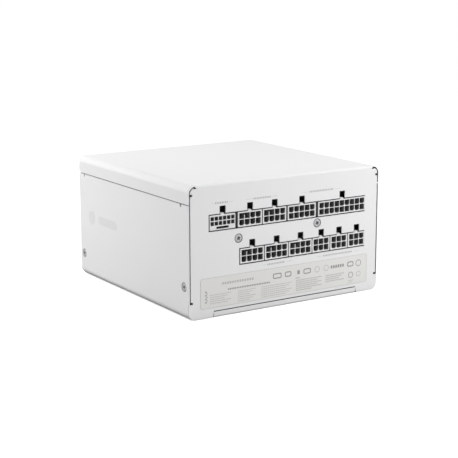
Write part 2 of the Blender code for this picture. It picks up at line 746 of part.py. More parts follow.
# ---- mains inlet and switch ---------------------------------------------------------------------------
def make_inlet():
    """Three-blade mains inlet with screw ears and a chamfered plug cavity."""
    x, z = INLET
    outer = Y_REAR + REAR_PROUD
    flange_back = Y_REAR + 0.1 * MM
    ear = 25 * MM
    flange = rounded(x - ear, z - 11.8 * MM, x + ear, z + 11.8 * MM, 5 * MM)
    holes = [circle(x + s * INLET_EARS, z, 1.8 * MM) for s in (-1, 1)]
    inlet = plate("ac_inlet", [flange, *holes], "Y", flange_back, outer, "black_plastic")
    body = block("inlet_body", (x - 13.6 * MM, Y_REAR - 19 * MM, z - 10 * MM), (x + 13.6 * MM, outer - 0.3 * MM, z + 10 * MM))
    cavity = [(x - 12 * MM, z - 8.2 * MM), (x + 12 * MM, z - 8.2 * MM), (x + 12 * MM, z + 4 * MM),
              (x + 8 * MM, z + 8.2 * MM), (x - 8 * MM, z + 8.2 * MM), (x - 12 * MM, z + 4 * MM)]
    fuse(inlet, body)
    cut(inlet, plate("plug_cavity", [cavity], "Y", Y_REAR - 14.5 * MM, outer + 3 * MM))
    for name, dx, dz in (("line", -7, -2), ("neutral", 7, -2), ("earth", 0, 2)):
        slot = block(f"{name}_slot", (x + dx * MM - 1.3 * MM, Y_REAR - 25 * MM, z + dz * MM - 2.3 * MM),
                     (x + dx * MM + 1.3 * MM, Y_REAR, z + dz * MM + 2.3 * MM))
        cut(inlet, slot)
        block(f"{name}_blade", (x + dx * MM - 1.0 * MM, Y_REAR - 24.5 * MM, z + dz * MM - 2.0 * MM),
              (x + dx * MM + 1.0 * MM, Y_REAR - 1.5 * MM, z + dz * MM + 2.0 * MM), "tinned_brass", bevel=0.35 * MM)
    for side, sign in (("left", -1), ("right", 1)):
        cut(inlet, *screw_hole_cutter("ear_" + side, (x + sign * INLET_EARS, outer, z), (0, -1, 0)))
        make_screw(f"inlet_screw_{side}", (x + sign * INLET_EARS, outer, z), (0, -1, 0), 6 * MM)
    return inlet


def make_switch():
    """Rocker switch: a bezel with a body behind it, and the rocker on its pivot."""
    x, z = SWITCH
    outer = Y_REAR + 1.6 * MM
    bezel = rounded(x - 8 * MM, z - 11.6 * MM, x + 8 * MM, z + 11.6 * MM, 1.2 * MM, steps=2)
    housing = plate("switch_housing", [bezel], "Y", Y_REAR + 0.1 * MM, outer, "black_plastic")
    fuse(housing, block("switch_body", (x - 6.4 * MM, Y_REAR - 16 * MM, z - 9.8 * MM),
                        (x + 6.4 * MM, outer - 0.4 * MM, z + 9.8 * MM)))
    cut(housing, block("rocker_well", (x - 5.2 * MM, Y_REAR - 8.5 * MM, z - 8.6 * MM),
                       (x + 5.2 * MM, outer + 2 * MM, z + 8.6 * MM)))
    pivot = Vector((x, Y_REAR - 3.0 * MM, z))
    profile = (
        [(4.4 * MM, 0.4 * MM), (2.3 * MM, 8.0 * MM), (0.6 * MM, 8.0 * MM)]
        + arc(0, 0, 4.2 * MM, 130, 230, 6)
        + [(0.6 * MM, -8.0 * MM), (2.3 * MM, -8.0 * MM), (4.4 * MM, -0.4 * MM)]
    )
    rocker = plate("switch_rocker", [profile], "X", -4.9 * MM, 4.9 * MM, "black_plastic")
    rocker.matrix_world = Matrix.Translation(pivot) @ Matrix.Rotation(-ROCKER_TILT, 4, "X") @ TURNS["X"]
    return rocker


# ---- boards and what is on them -----------------------------------------------------------------------
def wire(name, points, radius, material):
    curve = bpy.data.curves.new(name, "CURVE")
    curve.dimensions = "3D"
    curve.bevel_depth = radius
    curve.bevel_resolution = 1
    curve.use_fill_caps = True
    spline = curve.splines.new("POLY")
    spline.points.add(len(points) - 1)
    for point, co in zip(spline.points, points):
        point.co = (*co, 1)
    obj = bpy.data.objects.new(name, curve)
    bpy.context.scene.collection.objects.link(obj)
    return mesh_from_curve(name, obj, material)


def smooth_route(points, steps=5):
    """Points along a Catmull-Rom curve through the given ones."""
    points = [Vector(p) for p in points]
    ends = [2 * points[0] - points[1], *points, 2 * points[-1] - points[-2]]
    route = []
    for a, b, c, d in zip(ends, ends[1:], ends[2:], ends[3:]):
        for i in range(steps):
            t = i / steps
            route.append(0.5 * (2 * b + (c - a) * t + (2 * a - 5 * b + 4 * c - d) * t * t
                                + (3 * b - a - 3 * c + d) * t ** 3))
    return [*route, points[-1]]


def make_boards():
    y_low, y_high = SOCKET_BACK + 3.5 * MM, Y_REAR - 8 * MM
    block("modular_board", (-64 * MM, SOCKET_BACK + CLEAR, 29 * MM), (68 * MM, SOCKET_BACK + CLEAR + 1.6 * MM, 76 * MM),
          "board_black")
    block("main_board", (-69 * MM, y_low, BOARD_Z), (69 * MM, y_high, BOARD_Z + BOARD_THICK), "board_black")
    block("insulation_sheet", (-60 * MM, y_low, BOARD_Z + 3.0 * MM), (60 * MM, y_high, BOARD_Z + 3.5 * MM), "clear_film")
    spots = [(sx, y) for sx in (-65 * MM, 65 * MM) for y in (y_low + 6 * MM, y_high - 6 * MM)]
    for i, (x, y) in enumerate(spots):
        rod(f"board_standoff_{i + 1}", (x, y, BOARD_Z + BOARD_THICK + CLEAR), (x, y, CASE_HEIGHT - SHEET - CLEAR),
            2.8 * MM, "brass", sides=6)


def toroid(name, place, major, minor, material, turn=(math.pi / 2, 0, 0)):
    bpy.ops.mesh.primitive_torus_add(
        major_radius=major, minor_radius=minor, major_segments=20, minor_segments=10, location=place, rotation=turn
    )
    made = bpy.context.object
    for owner in list(made.users_collection):
        owner.objects.unlink(made)
    PARTS.objects.link(made)
    made.name = name
    made.data.materials.append(finish(material))
    return made


def heatsink(name, x, y_low, y_high, material="aluminium"):
    """A finned extrusion hanging from the main board, with its fins along X."""
    top, foot = BOARD_Z - CLEAR, 36 * MM
    outline = [(x - 1.2 * MM, top), (x - 1.2 * MM, foot)]
    outline += [(x + 1.2 * MM, foot)]
    fin, space = 1.2 * MM, 4.2 * MM
    z = foot + space
    while z + fin < top - 10 * MM:
        outline += [(x + 1.2 * MM, z), (x + 9 * MM, z), (x + 9 * MM, z + fin), (x + 1.2 * MM, z + fin)]
        z += fin + space
    outline.append((x + 1.2 * MM, top))
    return plate(name, [outline], "Y", y_low, y_high, material)


def make_components():
    top = BOARD_Z - CLEAR
    rod("bulk_capacitor", (-50 * MM, 30 * MM, 34 * MM), (-50 * MM, 30 * MM, top), 15 * MM, "capacitor_sleeve", sides=28)
    toroid("pfc_choke", (-50 * MM, -16 * MM, 57 * MM), 13 * MM, 6.5 * MM, "copper_winding")
    heatsink("primary_heatsink", -27 * MM, -35 * MM, 46 * MM)
    heatsink("secondary_heatsink", 26 * MM, -40 * MM, 20 * MM)
    block("main_transformer_core", (-12 * MM, -12 * MM, 44 * MM), (20 * MM, 20 * MM, top), "ferrite", bevel=1 * MM)
    windings = block("main_transformer_winding", (-15.2 * MM, -8 * MM, 39 * MM), (23.2 * MM, 16 * MM, 73 * MM),
                     "yellow_film")
    cut(windings, block("winding_slot", (-12.3 * MM, -30 * MM, 43.7 * MM), (20.3 * MM, 40 * MM, 100 * MM)))
    block("standby_transformer", (-12 * MM, 30 * MM, 60 * MM), (8 * MM, 46 * MM, top), "yellow_film", bevel=1 * MM)
    toroid("line_filter_choke", (52 * MM, 22 * MM, 64 * MM), 9.5 * MM, 4.8 * MM, "copper_winding")
    block("x_capacitor", (44 * MM, 6 * MM, 62 * MM), (62 * MM, 14 * MM, top), "yellow_film", bevel=0.8 * MM)
    for i, y in enumerate((-14 * MM, -30 * MM)):
        rod(f"output_capacitor_{i + 1}", (50 * MM, y, 54 * MM), (50 * MM, y, top), 6 * MM, "capacitor_sleeve", sides=20)
    board_foot = BOARD_Z - CLEAR
    x, z = INLET
    wire("line_wire", smooth_route([
        (x - 7 * MM, Y_REAR - 24.9 * MM, z - 2 * MM), (x - 7 * MM, Y_REAR - 30 * MM, z - 1 * MM),
        (x - 6 * MM, Y_REAR - 34 * MM, z + 8 * MM), (x - 6 * MM, Y_REAR - 34 * MM, board_foot),
    ]), 1.3 * MM, "wire_brown")
    frame_top = FAN_LOW + FAN_THICK
    wire("fan_lead", smooth_route([
        (-62 * MM, Y_MID + 55 * MM, frame_top + CLEAR), (-62 * MM, Y_MID + 56 * MM, frame_top + 12 * MM),
        (-64 * MM, Y_MID + 52 * MM, 55 * MM), (-61 * MM, Y_MID + 54 * MM, 68 * MM),
        (-60 * MM, Y_MID + 54 * MM, board_foot),
    ]), 1.2 * MM, "wire_black")


def smooth_round_parts():
    """Smooth shading everywhere but across edges sharper than SMOOTH_ANGLE."""
    for obj in PARTS.objects:
        obj.data.shade_smooth()
        obj.data.set_sharp_from_angle(angle=SMOOTH_ANGLE)


def main():
    make_upper_shell()
    make_lower_shell()
    make_fan_grille()
    make_label()
    make_sockets()
    make_fasteners()
    make_fan_frame()
    make_fan_stator()
    make_fan_rotor()
    make_inlet()
    make_switch()
    make_boards()
    make_components()
    smooth_round_parts()


main()
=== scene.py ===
"""Studio scene of the modular power supply unit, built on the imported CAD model."""

import json
import math

import bmesh
import bpy
from mathutils import Matrix, Vector


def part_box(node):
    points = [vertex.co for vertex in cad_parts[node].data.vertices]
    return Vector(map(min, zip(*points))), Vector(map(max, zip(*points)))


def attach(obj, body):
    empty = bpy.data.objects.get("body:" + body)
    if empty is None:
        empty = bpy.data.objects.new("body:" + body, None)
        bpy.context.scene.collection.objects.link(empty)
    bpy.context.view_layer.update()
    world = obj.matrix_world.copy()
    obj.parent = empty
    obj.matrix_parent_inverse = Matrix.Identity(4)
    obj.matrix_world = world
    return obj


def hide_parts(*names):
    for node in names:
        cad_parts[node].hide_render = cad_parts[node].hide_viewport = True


MM = 0.001
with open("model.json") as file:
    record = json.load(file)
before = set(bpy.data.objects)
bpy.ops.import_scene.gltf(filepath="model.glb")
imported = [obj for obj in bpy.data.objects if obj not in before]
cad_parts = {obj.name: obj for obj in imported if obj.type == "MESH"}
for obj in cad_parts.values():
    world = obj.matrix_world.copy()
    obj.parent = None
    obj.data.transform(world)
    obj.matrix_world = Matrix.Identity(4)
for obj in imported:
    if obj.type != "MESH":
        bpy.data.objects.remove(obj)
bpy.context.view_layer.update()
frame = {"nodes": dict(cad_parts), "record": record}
nodes = frame["nodes"]

# ---- sizes shared with the CAD model --------------------------------------------------------------
HALF_W, HEIGHT = 75 * MM, 86 * MM
SHEET, BEND, GAP, PANEL_GAP = 0.8 * MM, 5 * MM, 0.6 * MM, 0.7 * MM
SEAM_Z = 73.9 * MM
Y_FRONT, Y_REAR = -76.1 * MM, 73.9 * MM
Y_MID = (Y_FRONT + Y_REAR) / 2
WALL_IN = HALF_W - SHEET
PANEL_X = WALL_IN - PANEL_GAP
PANEL_HIGH = HEIGHT - SHEET - PANEL_GAP
PANEL_CORNER = BEND - SHEET - PANEL_GAP
FLAP_TOP, FLAP_EDGE = 10.8 * MM, 0.12 * MM  # below this height the end panels reach the housing's outline
STRIP_HIGH, STRIP_HALF_W, STRIP_ROOM = 3.8 * MM, 56.5 * MM, 57.3 * MM
FOLD_HALF_W = HALF_W - BEND - 0.3 * MM
SHEET_EDGE = 0.1 * MM
FLANGE_ENDS = (Y_FRONT + 0.5 * MM, Y_FRONT + 8.6 * MM), (Y_REAR - 7.7 * MM, Y_REAR - 0.5 * MM)
NOTCH_HEIGHTS = 79.9 * MM, 11.3 * MM
SEAM_NOTCHES = Y_FRONT + 9.2 * MM, Y_FRONT + 141.7 * MM
TONGUE_ENDS = Y_FRONT + 10.2 * MM, Y_FRONT + 140.9 * MM
PITCH, SOCKET_HEIGHT = 4.2 * MM, 9.6 * MM
SOCKET_DEPTH, CAVITY_DEPTH, FACE_DEPTH = 13 * MM, 9 * MM, 0.4 * MM
SOCKET_FRONT = Y_FRONT + 0.1 * MM
TERMINAL_FRONT = SOCKET_FRONT + 4.5 * MM
ROW_GAP, ROW_GAP_LEFT, ROW_COVER_RIGHT = 0.75 * MM, 0.8 * MM, 0.4 * MM
LATCH_HALF_W, LATCH_HIGH = 2.3 * MM, 4.8 * MM
POCKET = 3.78 * MM
TWELVE_PITCH = 3.04 * MM
UPPER_Z, LOWER_Z = 61.1 * MM, 37.1 * MM
POCKET_ROWS = {
    "six": ("SSD", "DDS"),
    "eight": ("KDD", "DDDS"),
    "ten": ("DDSSD", "SSDDS"),
    "eighteen": ("DDSSDDSSD", "SSDDSSDDS"),
}
INLET = (38 * MM, 60 * MM)
SWITCH = (-4 * MM, 60 * MM)
CASE_HOLES = [(-69 * MM, 80 * MM), (69 * MM, 80 * MM), (-69 * MM, 6 * MM), (69 * MM, 16 * MM)]
SIDE_SCREWS = {"front": (5.7 * MM, 21.3 * MM), "rear": (144.7 * MM, 16.2 * MM)}
PANEL_SCREWS = {"left": (-37.9 * MM, 49.2 * MM), "right": (23.8 * MM, 52.0 * MM)}
FAN_HOLE = 62.25 * MM

TURNS = {
    "Z": Matrix.Identity(4),
    "Y": Matrix.Rotation(math.pi / 2, 4, "X"),
    "X": Matrix.Rotation(math.pi / 2, 4, "Z") @ Matrix.Rotation(math.pi / 2, 4, "X"),
}


# ---- materials --------------------------------------------------------------------------------------
def material(name, colour, roughness, metallic=0.0, grain=0.0, scale=2500, coat=0.0):
    """A plain finish; grain adds a fine bump, as of powder coat or moulded plastic."""
    made = bpy.data.materials.new(name)
    made.use_nodes = True
    tree = made.node_tree
    shader = tree.nodes["Principled BSDF"]
    shader.inputs["Base Color"].default_value = (*colour, 1)
    shader.inputs["Roughness"].default_value = roughness
    shader.inputs["Metallic"].default_value = metallic
    shader.inputs["Coat Weight"].default_value = coat
    if grain:
        coords = tree.nodes.new("ShaderNodeTexCoord")
        noise = tree.nodes.new("ShaderNodeTexNoise")
        noise.inputs["Scale"].default_value = scale
        noise.inputs["Detail"].default_value = 3
        bump = tree.nodes.new("ShaderNodeBump")
        bump.inputs["Strength"].default_value = grain
        bump.inputs["Distance"].default_value = 0.00005
        tree.links.new(coords.outputs["Object"], noise.inputs["Vector"])
        tree.links.new(noise.outputs["Fac"], bump.inputs["Height"])
        tree.links.new(bump.outputs["Normal"], shader.inputs["Normal"])
    return made


LOOKS = {
    "white_paint": material("powder_coat", (0.86, 0.86, 0.865), 0.34, grain=0.25),
    "white_plastic": material("white_moulding", (0.82, 0.82, 0.82), 0.42, grain=0.1),
    "black_plastic": material("black_moulding", (0.018, 0.018, 0.02), 0.42, grain=0.15),
    # painted shade: dark colour for the insides of socket pockets and the gaps round sunk screw heads
    "pocket_shade": material("pocket_shade", (0.1, 0.1, 0.102), 0.55),
    # painted shade: dark colour of the housing's inside, flanges and tongues, seen through gaps, seams and notches
    "inside_shade": material("painted_shade_inside", (0.07, 0.07, 0.073), 0.5, 0.3),
    "screw_steel": material("plated_steel", (0.68, 0.68, 0.69), 0.38, 0.45, grain=0.1, scale=900),
    "label_film": material("label_film", (0.8, 0.795, 0.775), 0.5),
    "label_ink": material("label_ink", (0.33, 0.33, 0.325), 0.6),
    "label_faint": material("label_faint_ink", (0.55, 0.547, 0.535), 0.6),
    "side_ink": material("side_ink", (0.79, 0.79, 0.795), 0.5),
    "panel_ink": material("panel_ink", (0.52, 0.52, 0.52), 0.6),
    "board_black": material("board_mask", (0.012, 0.02, 0.015), 0.38, coat=0.4),
    "aluminium": material("extruded_aluminium", (0.78, 0.78, 0.8), 0.36, 1.0, grain=0.2, scale=600),
    "ferrite": material("ferrite", (0.05, 0.05, 0.055), 0.75, grain=0.4),
    "copper_winding": material("enamelled_copper", (0.62, 0.27, 0.1), 0.32, 0.9),
    "capacitor_sleeve": material("capacitor_sleeve", (0.02, 0.025, 0.07), 0.28, coat=0.3),
    "yellow_film": material("yellow_tape", (0.72, 0.55, 0.06), 0.4),
    "brass": material("turned_brass", (0.8, 0.6, 0.3), 0.3, 1.0),
    "tinned_brass": material("tinned_brass", (0.76, 0.75, 0.71), 0.25, 1.0),
    "clear_film": material("insulating_film", (0.7, 0.7, 0.67), 0.3),
    "wire_black": material("wire_sleeve", (0.02, 0.02, 0.02), 0.5),
    "wire_brown": material("wire_insulation", (0.2, 0.07, 0.03), 0.45),
}
NODE_SLOTS = {entry["node"]: entry["material_slot"] for entry in frame["record"]["subparts"]}
for node_name, node in nodes.items():
    node.data.materials.clear()
    node.data.materials.append(LOOKS[NODE_SLOTS[node_name]])


# ---- mesh helpers -------------------------------------------------------------------------------------
def link(obj):
    bpy.context.scene.collection.objects.link(obj)
    return obj


def arc(cx, cy, radius, start, end, steps=6):
    found = []
    for i in range(steps + 1):
        a = math.radians(start + (end - start) * i / steps)
        found.append((cx + radius * math.cos(a), cy + radius * math.sin(a)))
    return found


def rectangle(low_u, low_v, high_u, high_v):
    return [(low_u, low_v), (high_u, low_v), (high_u, high_v), (low_u, high_v)]


def rounded(low_u, low_v, high_u, high_v, radius, steps=4):
    return (
        arc(high_u - radius, high_v - radius, radius, 0, 90, steps)
        + arc(low_u + radius, high_v - radius, radius, 90, 180, steps)
        + arc(low_u + radius, low_v + radius, radius, 180, 270, steps)
        + arc(high_u - radius, low_v + radius, radius, 270, 360, steps)
    )


def circle(cx, cy, radius, steps=24):
    return arc(cx, cy, radius, 0, 360 * (steps - 1) / steps, steps - 1)


def plate(name, outlines, axis, low, high, look=None, edge=0.0):
    """Flat outlines with holes, extruded along an axis, with rounded edges where edge is given."""
    curve = bpy.data.curves.new(name, "CURVE")
    curve.dimensions = "2D"
    curve.fill_mode = "BOTH"
    curve.extrude = (high - low) / 2 - edge
    curve.bevel_depth = edge
    curve.bevel_resolution = 1
    curve.offset = -edge
    for outline in outlines:
        spline = curve.splines.new("POLY")
        spline.points.add(len(outline) - 1)
        for point, (u, v) in zip(spline.points, outline):
            point.co = (u, v, 0, 1)
        spline.use_cyclic_u = True
    flat = link(bpy.data.objects.new(name + "_outline", curve))
    bpy.context.view_layer.update()
    mesh = bpy.data.meshes.new_from_object(flat.evaluated_get(bpy.context.evaluated_depsgraph_get()))
    bpy.data.objects.remove(flat)
    bpy.data.curves.remove(curve)
    mesh.name = name
    way = {"X": (1, 0, 0), "Y": (0, 1, 0), "Z": (0, 0, 1)}[axis]
    shape = bmesh.new()
    shape.from_mesh(mesh)
    bmesh.ops.remove_doubles(shape, verts=shape.verts, dist=0.000004)
    bmesh.ops.transform(shape, matrix=Matrix.Translation(Vector(way) * (low + high) / 2) @ TURNS[axis],
                        verts=shape.verts)
    bmesh.ops.recalc_face_normals(shape, faces=shape.faces)
    shape.to_mesh(mesh)
    shape.free()
    return dressed(link(bpy.data.objects.new(name, mesh)), look)


def dressed(obj, look):
    obj.data.materials.clear()
    if look:
        obj.data.materials.append(LOOKS[look])
    return obj


def smooth(obj, degrees=32):
    obj.data.shade_smooth()
    obj.data.set_sharp_from_angle(angle=math.radians(degrees))
    even = obj.modifiers.new("even_normals", "WEIGHTED_NORMAL")
    even.keep_sharp = True
    return obj


def block(name, low, high, look=None, bevel=0.0):
    low, high = Vector(low), Vector(high)
    shape = bmesh.new()
    bmesh.ops.create_cube(shape, size=1)
    bmesh.ops.scale(shape, vec=high - low, verts=shape.verts)
    bmesh.ops.translate(shape, vec=(low + high) / 2, verts=shape.verts)
    if bevel:
        bmesh.ops.bevel(shape, geom=shape.edges, offset=bevel, segments=2, profile=0.5, affect="EDGES")
    mesh = bpy.data.meshes.new(name)
    shape.to_mesh(mesh)
    shape.free()
    return dressed(link(bpy.data.objects.new(name, mesh)), look)


def rod(name, start, end, radius, look=None, sides=24, end_radius=None):
    start, end = Vector(start), Vector(end)
    shape = bmesh.new()
    bmesh.ops.create_cone(shape, cap_ends=True, segments=sides, radius1=radius,
                          radius2=radius if end_radius is None else end_radius, depth=(end - start).length)
    turn = (end - start).normalized().to_track_quat("Z", "Y").to_matrix().to_4x4()
    bmesh.ops.transform(shape, matrix=Matrix.Translation((start + end) / 2) @ turn, verts=shape.verts)
    mesh = bpy.data.meshes.new(name)
    shape.to_mesh(mesh)
    shape.free()
    return dressed(link(bpy.data.objects.new(name, mesh)), look)


def boolean(target, operation, others):
    """Applies a Boolean with each of the others, and removes them."""
    for other in others:
        step = target.modifiers.new("boolean", "BOOLEAN")
        step.operation = operation
        step.object = other
        step.solver = "EXACT"
    bpy.context.view_layer.update()
    mesh = bpy.data.meshes.new_from_object(target.evaluated_get(bpy.context.evaluated_depsgraph_get()))
    target.modifiers.clear()
    looks = list(target.data.materials)
    target.data = mesh
    mesh.materials.clear()
    for look in looks:
        mesh.materials.append(look)
    mesh.polygons.foreach_set("material_index", [0] * len(mesh.polygons))
    for other in others:
        bpy.data.objects.remove(other)
    return target


def cut(target, *others):
    return boolean(target, "DIFFERENCE", others)


def joined(name, pieces, look):
    """Separate closed shapes held in one object."""
    shape = bmesh.new()
    for piece in pieces:
        shape.from_mesh(piece.data)
        bpy.data.objects.remove(piece)
    mesh = bpy.data.meshes.new(name)
    shape.to_mesh(mesh)
    shape.free()
    return dressed(link(bpy.data.objects.new(name, mesh)), look)


def place(obj, replaced=(), body="unit"):
    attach(obj, body)
    if replaced:
        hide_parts(*replaced)
    return obj


# ---- sockets ------------------------------------------------------------------------------------------
def sockets():
    """(node name, kind, centre x, centre z, width) of every socket, from its box in the frame."""
    kinds = {"socket_12v": "twelve", "socket_motherboard_10": "ten", "socket_motherboard_18": "eighteen"}
    found = []
    for name in sorted(nodes):
        if name.startswith("socket_"):
            kind = kinds.get(name) or ("eight" if "cpu_gpu" in name else "six")
            low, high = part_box(name)
            z = UPPER_Z if low[2] > 50 * MM else LOWER_Z
            found.append((name, kind, (low[0] + high[0]) / 2, z, high[0] - low[0]))
    return found


def pocket(x, z, kind, half=POCKET / 2):
    if kind == "S":
        return rounded(x - half, z - half, x + half, z + half, 0.25 * MM, 2)
    r = 1.3 * MM
    return (
        [(x + half, z + half), (x - half, z + half)]
        + arc(x - half + r, z - half + r, r, 180, 270, 5)
        + arc(x + half - r, z - half + r, r, 270, 360, 5)
    )


def keyed_pair(x, z):
    half = POCKET / 2
    slot = z + half - 1.2 * MM
    return [
        (x - half, z - half), (x + half, z - half), (x + half, slot), (x + PITCH - half, slot),
        (x + PITCH - half, z - half), (x + PITCH + half, z - half), (x + PITCH + half, z + half),
        (x - half, z + half),
    ]


def pocket_outlines(kind, x, z):
    """(outlines of the pockets, centres of their terminals)."""
    found, centres = [], []
    if kind == "twelve":
        half = 1.28 * MM
        for column in range(6):
            for dz in (2.5 * MM, -0.6 * MM):
                u = x + (column - 2.5) * TWELVE_PITCH
                found.append(rounded(u - half, z + dz - half, u + half, z + dz + half, 0.2 * MM, 2))
                centres.append((u, z + dz))
        found.append(rounded(x - 4.6 * MM, z - 4.15 * MM, x + 4.6 * MM, z - 2.65 * MM, 0.3 * MM, 2))
        return found, centres
    for row_index, pattern in enumerate(POCKET_ROWS[kind]):
        row_z = z + PITCH * (0.5 - row_index)
        columns = len(POCKET_ROWS[kind][1])
        centres += [(x + (i - (columns - 1) / 2) * PITCH, row_z) for i in range(columns)]
        column = 0
        for letter in pattern:
            u = x + (column - (columns - 1) / 2) * PITCH
            if letter == "K":
                found.append(keyed_pair(u, row_z))
                column += 2
            else:
                found.append(pocket(u, row_z, letter))
                column += 1
    return found, centres


def make_sockets():
    front = SOCKET_FRONT
    for name, kind, x, z, width in sockets():
        half_w, half_h = width / 2, SOCKET_HEIGHT / 2
        pockets, centres = pocket_outlines(kind, x, z)
        edge = rounded(x - half_w, z - half_h, x + half_w, z + half_h, 0.3 * MM, 2)
        rim_w = half_w - 0.12 * MM
        rim = rounded(x - rim_w, z - half_h, x + rim_w, z + half_h, 0.3 * MM, 2)
        face = plate(name + "_face", [rim, *pockets], "Y", front, front + FACE_DEPTH, "white_plastic", 0.08 * MM)
        high = z + half_h + 1.0 * MM
        ramp = plate(name + "_ramp", [[
            (front + 0.2 * MM, z + half_h - 0.3 * MM), (front + 3 * MM, z + half_h - 0.3 * MM),
            (front + 3 * MM, high), (front + 1.2 * MM, high), (front + 0.2 * MM, z + half_h + 0.4 * MM),
        ]], "X", x - 1.3 * MM, x + 1.3 * MM, None, 0.06 * MM)
        place(smooth(joined(name + "_moulding", [face, ramp], "white_plastic")), [name])
        # The pocket walls behind the face, the socket's back and the terminals get the dark pocket colour: painted
        # shade deep in the pockets.
        floor = front + CAVITY_DEPTH
        core = plate(name + "_core", [edge, *pockets], "Y", front + FACE_DEPTH, floor)
        back = block(name + "_back", (x - half_w, floor, z - half_h), (x + half_w, front + SOCKET_DEPTH, z + half_h))
        place(joined(name + "_pocket_shade_walls", [core, back], "pocket_shade"))
        outer, inner = (0.75, 0.5) if kind == "twelve" else (1.25, 0.85)
        tubes = []
        for u, v in centres:
            tubes.append(rectangle(u - outer * MM, v - outer * MM, u + outer * MM, v + outer * MM))
            tubes.append(rectangle(u - inner * MM, v - inner * MM, u + inner * MM, v + inner * MM))
        place(plate(name + "_terminals", tubes, "Y", TERMINAL_FRONT, floor, "pocket_shade"))


# ---- housing ------------------------------------------------------------------------------------------
def row_window(z, names):
    """The panel's opening for one row of sockets, with a latch window above each."""
    boxes = sorted((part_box(name) for name in names), key=lambda b: b[0][0])
    half_h = SOCKET_HEIGHT / 2 + ROW_GAP
    low, high = z - half_h, z + half_h
    left, right = boxes[0][0][0] - ROW_GAP_LEFT, boxes[-1][1][0] - ROW_COVER_RIGHT
    outline = [(left, low), (right, low), (right, high)]
    for box in reversed(boxes):
        x, top = (box[0][0] + box[1][0]) / 2, high + LATCH_HIGH
        latch_left, latch_right = x - LATCH_HALF_W, x + LATCH_HALF_W
        outline += [(latch_right, high), (latch_right, top), (latch_left, top), (latch_left, high)]
    outline.append((left, high))
    return outline


def bent_profile(z_end, top):
    """The section of a shell with two long bends, opening down if top is true."""
    centre, inner = HALF_W - BEND, BEND - SHEET
    if top:
        return (
            [(HALF_W, z_end)] + arc(centre, HEIGHT - BEND, BEND, 0, 90, 16)
            + arc(-centre, HEIGHT - BEND, BEND, 90, 180, 16) + [(-HALF_W, z_end), (-WALL_IN, z_end)]
            + arc(-centre, HEIGHT - BEND, inner, 180, 90, 16) + arc(centre, HEIGHT - BEND, inner, 90, 0, 16)
            + [(WALL_IN, z_end)]
        )
    return (
        [(-HALF_W, z_end)] + arc(-centre, BEND, BEND, 180, 270, 16) + arc(centre, BEND, BEND, 270, 360, 16)
        + [(HALF_W, z_end), (WALL_IN, z_end)] + arc(centre, BEND, inner, 360, 270, 16)
        + arc(-centre, BEND, inner, 270, 180, 16) + [(-WALL_IN, z_end)]
    )


def hexagons(pitch, across, allowed):
    found = []
    row_step = pitch * math.sqrt(3) / 2
    reach = int(90 * MM / row_step)
    corner = across / math.sqrt(3)
    for row in range(-reach, reach + 1):
        for column in range(-reach, reach + 1):
            u, v = (column + 0.5 * (row % 2)) * pitch, row * row_step
            if allowed(u, v):
                found.append([(u + corner * math.sin(k * math.pi / 3), v + corner * math.cos(k * math.pi / 3))
                              for k in range(6)])
    return found


def rear_openings():
    def open_area(u, v):
        z = v + HEIGHT / 2
        near_inlet = abs(u - INLET[0]) < 29 * MM and abs(z - INLET[1]) < 17 * MM
        near_switch = abs(u - SWITCH[0]) < 13 * MM and abs(z - SWITCH[1]) < 17 * MM
        return abs(u) < 60 * MM and abs(v) < 34 * MM and not near_inlet and not near_switch

    x, z = INLET
    found = [rectangle(x - 14.2 * MM, z - 10.7 * MM, x + 14.2 * MM, z + 10.7 * MM)]
    x, z = SWITCH
    found.append(rectangle(x - 6.8 * MM, z - 10.2 * MM, x + 6.8 * MM, z + 10.2 * MM))
    found += [circle(INLET[0] + s * 20 * MM, INLET[1], 1.8 * MM) for s in (-1, 1)]
    found += [circle(x, z, 1.75 * MM) for x, z in CASE_HOLES]
    return found + [[(u, v + HEIGHT / 2) for u, v in h] for h in hexagons(9.4 * MM, 8.0 * MM, open_area)]


def screw_sink(point, inward, head_r=3.05 * MM, hole_r=1.7 * MM):
    point, inward = Vector(point), Vector(inward)
    return [
        rod("sink", point - inward * 1 * MM, point + inward * 2 * MM, head_r + 1 * MM,
            end_radius=head_r - 2 * MM, sides=40),
        rod("step", point - inward * 1 * MM, point + inward * 0.5 * MM, head_r, sides=40),
        rod("hole", point - inward * 1 * MM, point + inward * 6 * MM, hole_r, sides=24),
    ]


def side_screws():
    return {
        f"{end}_{side}": (Vector((sign * HALF_W, Y_FRONT + y, z)), Vector((-sign, 0, 0)))
        for side, sign in (("left", -1), ("right", 1))
        for end, (y, z) in SIDE_SCREWS.items()
    }


def fan_screws():
    return {
        f"{end}_{side}": (Vector((sx * FAN_HOLE, Y_MID + sy * FAN_HOLE, 0)), Vector((0, 0, 1)))
        for side, sx in (("left", -1), ("right", 1))
        for end, sy in (("front", -1), ("rear", 1))
    }


def fold_arcs(y, inward, r):
    """The outer and inner arc of a right-angled fold at height 0, from the upright to the flat part and back."""
    angles = [math.radians(90 * i / 8) for i in range(9)]
    outside = [(y + inward * (r - r * math.cos(a)), r - r * math.sin(a)) for a in angles]
    inner = r - SHEET
    inside = [(y + inward * (r - inner * math.cos(a)), r - inner * math.sin(a)) for a in reversed(angles)]
    return outside, inside


